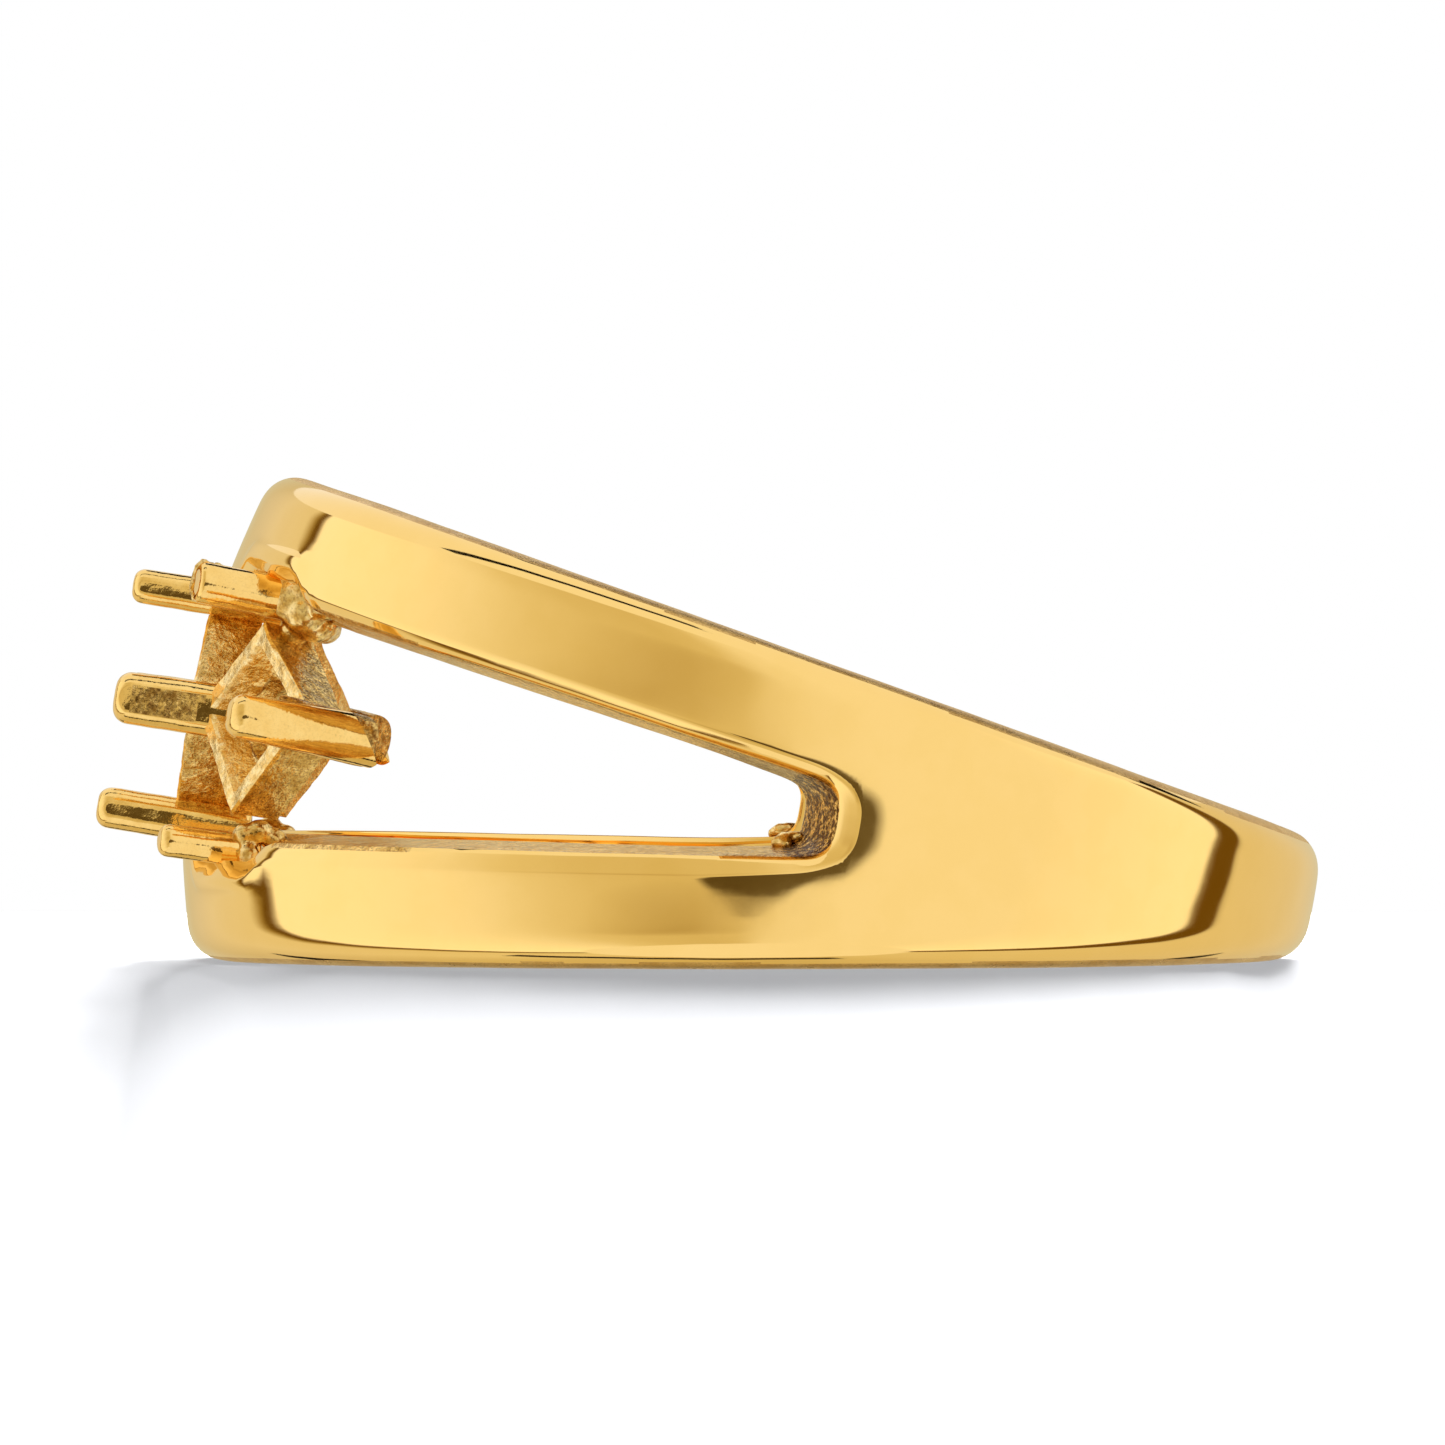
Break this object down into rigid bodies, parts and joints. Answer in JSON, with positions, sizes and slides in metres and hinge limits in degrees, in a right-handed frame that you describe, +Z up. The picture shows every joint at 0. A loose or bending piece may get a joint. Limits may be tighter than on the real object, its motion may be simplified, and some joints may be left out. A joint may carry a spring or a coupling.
{
  "type": "semi mount ring setting",
  "caption": "Gold ring setting with a tapered band that splits into two rails, holding a row of open square stone seats with round prongs.",
  "frame": {"origin": "on the surface that the ring lies on, under the middle of its outline", "axes": "+Z up, with the ring lying on one side face; the head with its seats and prongs is towards -X, the palm side towards +X, and the row of seats runs along Y; the finger axis leans from +Z towards +X by 9.82 degrees"},
  "size_m": [0.0224, 0.0208, 0.0089],
  "materials": {
    "gold": "mirror polished yellow gold outside, grainy as cast in the split and in the seats"
  },
  "bodies": {
    "root": {"semi_mount_ring": "gold"}
  },
  "joints": []
}
